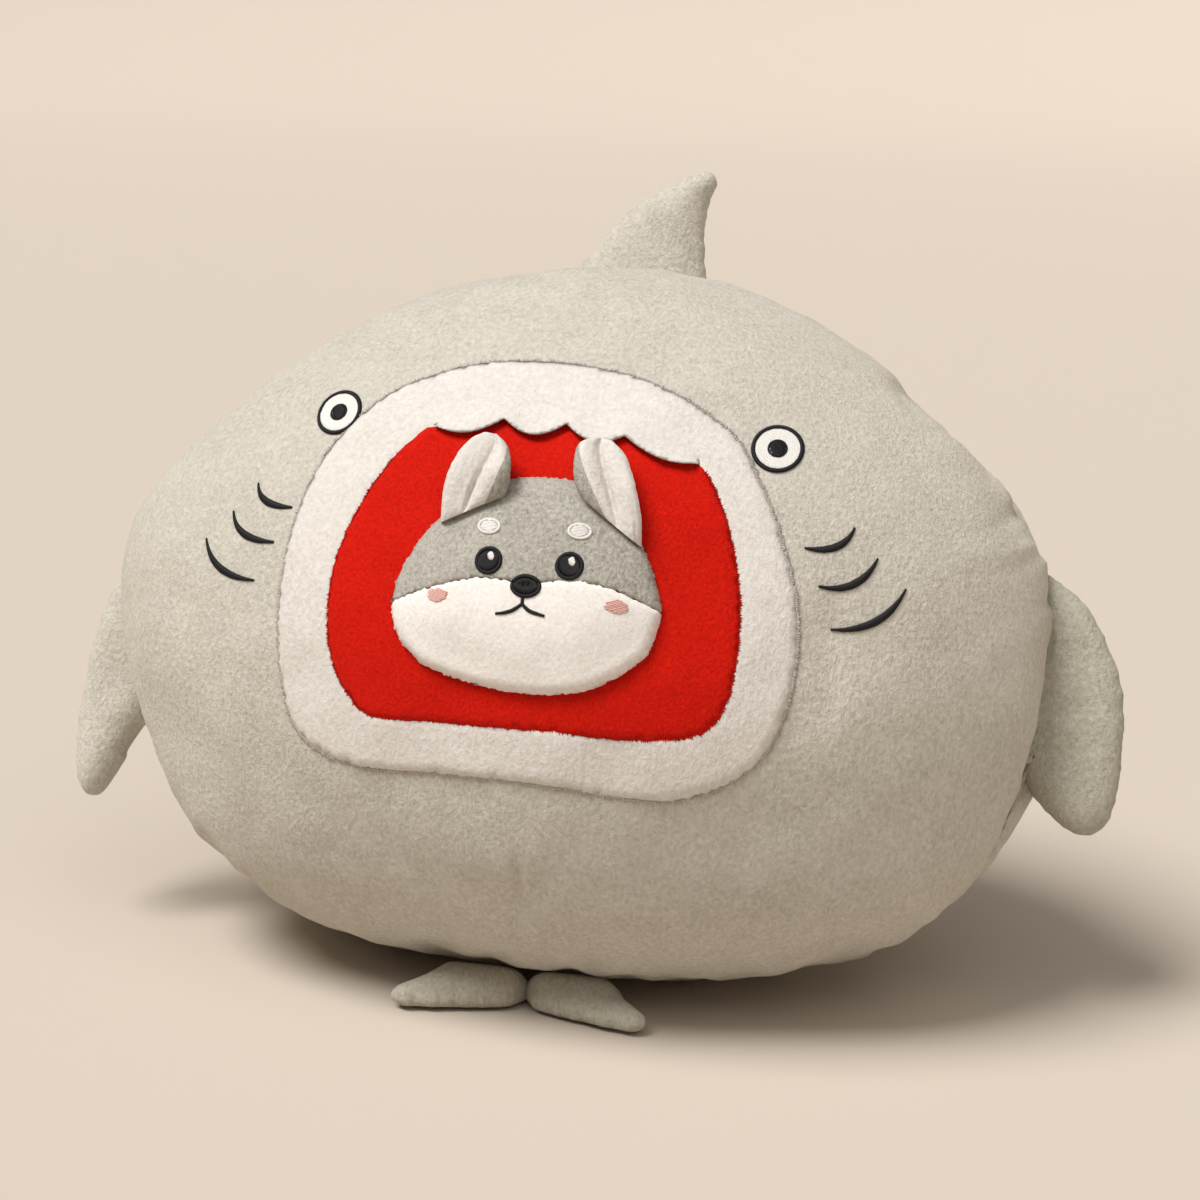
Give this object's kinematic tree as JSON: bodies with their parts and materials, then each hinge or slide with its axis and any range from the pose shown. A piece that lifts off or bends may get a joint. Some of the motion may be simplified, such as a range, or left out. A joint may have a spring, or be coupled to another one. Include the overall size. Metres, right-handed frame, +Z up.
{
  "type": "plush shark cushion",
  "caption": "Fat grey plush shark cushion that sits leaning back, with a dog face sewn in its open red mouth, arm-like side fins, a swept top fin and two tail flukes.",
  "frame": {"origin": "on the floor under the middle of the cushion, on the flat where it rests", "axes": "+Z up, +X to the right as a viewer facing the shark sees it, and the face looks along -Y, leaning back 18 degrees; left and right in names are that viewer's"},
  "size_m": [0.4809, 0.2707, 0.3531],
  "materials": {
    "grey_plush": "matte",
    "white_plush": "matte",
    "smooth_white": "matte",
    "red_plush": "matte",
    "black_thread": "satin",
    "white_thread": "satin",
    "pink_thread": "satin",
    "grey_thread": "matte",
    "fibre_fill": "matte"
  },
  "bodies": {
    "cushion": {"body_back_panel": "grey_plush", "body_front_panel": "grey_plush", "body_stuffing": "fibre_fill", "dog_brow_left": "white_thread", "dog_brow_right": "white_thread", "dog_cheek_left": "pink_thread", "dog_cheek_right": "pink_thread", "dog_eye_glint_left": "white_thread", "dog_eye_glint_right": "white_thread", "dog_eye_left": "black_thread", "dog_eye_right": "black_thread", "dog_face_fur": "grey_plush", "dog_head_padding": "fibre_fill", "dog_mouth_stitching": "black_thread", "dog_muzzle": "white_plush", "dog_nose": "black_thread", "gill_stitching_left": "black_thread", "gill_stitching_right": "black_thread", "lip_patch": "white_plush", "mouth_lining": "red_plush", "perimeter_seam_thread": "grey_thread", "shark_eye_pupil_left": "black_thread", "shark_eye_pupil_right": "black_thread", "shark_eye_ring_left": "black_thread", "shark_eye_ring_right": "black_thread", "shark_eye_white_left": "white_thread", "shark_eye_white_right": "white_thread"},
    "dog_ear_left": {"dog_ear_inner_left": "white_plush", "dog_ear_outer_left": "grey_plush"},
    "dog_ear_right": {"dog_ear_inner_right": "white_plush", "dog_ear_outer_right": "grey_plush"},
    "dorsal_fin": {"dorsal_fin_back_panel": "grey_plush", "dorsal_fin_front_panel": "grey_plush", "dorsal_fin_stuffing": "fibre_fill"},
    "pectoral_fin_left": {"pectoral_fin_left_back_panel": "grey_plush", "pectoral_fin_left_front_panel": "grey_plush", "pectoral_fin_left_stuffing": "fibre_fill"},
    "pectoral_fin_right": {"pectoral_fin_right_back_panel": "grey_plush", "pectoral_fin_right_front_panel": "grey_plush", "pectoral_fin_right_stuffing": "fibre_fill"},
    "tail_fluke_left": {"tail_fluke_left_bottom_panel": "grey_plush", "tail_fluke_left_stuffing": "fibre_fill", "tail_fluke_left_top_panel": "grey_plush"},
    "tail_fluke_right": {"tail_fluke_right_bottom_panel": "grey_plush", "tail_fluke_right_stuffing": "fibre_fill", "tail_fluke_right_top_panel": "grey_plush"},
    "teeth_flap": {"teeth_flap": "smooth_white"}
  },
  "joints": [
    {"name": "dorsal_fin_bend", "type": "hinge", "parent": "cushion", "child": "dorsal_fin", "pos_m": [0.009, 0.05006, 0.3003], "axis": [1, 0, 0], "range_deg": [-35, 35], "stiffness_Nm_per_rad": 0.03},
    {"name": "pectoral_fin_left_flap", "type": "hinge", "parent": "cushion", "child": "pectoral_fin_left", "pos_m": [-0.2152, 0, 0.14623], "axis": [0, 0.309, 0.9511], "range_deg": [-45, 45], "stiffness_Nm_per_rad": 0.03},
    {"name": "pectoral_fin_right_flap", "type": "hinge", "parent": "cushion", "child": "pectoral_fin_right", "pos_m": [0.2152, 0, 0.14623], "axis": [0, -0.309, -0.9511], "range_deg": [-45, 45], "stiffness_Nm_per_rad": 0.03},
    {"name": "tail_fluke_left_lift", "type": "hinge", "parent": "cushion", "child": "tail_fluke_left", "pos_m": [-0.0195, -0.073, 0.003], "axis": [-1, 0, 0], "range_deg": [0, 20], "stiffness_Nm_per_rad": 0.02},
    {"name": "tail_fluke_right_lift", "type": "hinge", "parent": "cushion", "child": "tail_fluke_right", "pos_m": [0.0135, -0.073, 0.003], "axis": [-1, 0, 0], "range_deg": [0, 20], "stiffness_Nm_per_rad": 0.02},
    {"name": "dog_ear_left_fold", "type": "hinge", "parent": "cushion", "child": "dog_ear_left", "pos_m": [-0.029, -0.11704, 0.23262], "axis": [0.9711, -0.182, -0.1543], "range_deg": [0, 45], "stiffness_Nm_per_rad": 0.01},
    {"name": "dog_ear_right_fold", "type": "hinge", "parent": "cushion", "child": "dog_ear_right", "pos_m": [0.029, -0.11704, 0.23262], "axis": [0.9711, 0.182, 0.1543], "range_deg": [0, 45], "stiffness_Nm_per_rad": 0.01},
    {"name": "teeth_flap_lift", "type": "hinge", "parent": "cushion", "child": "teeth_flap", "pos_m": [0, -0.06834, 0.27673], "axis": [-1, 0, 0], "range_deg": [0, 40], "stiffness_Nm_per_rad": 0.005}
  ]
}
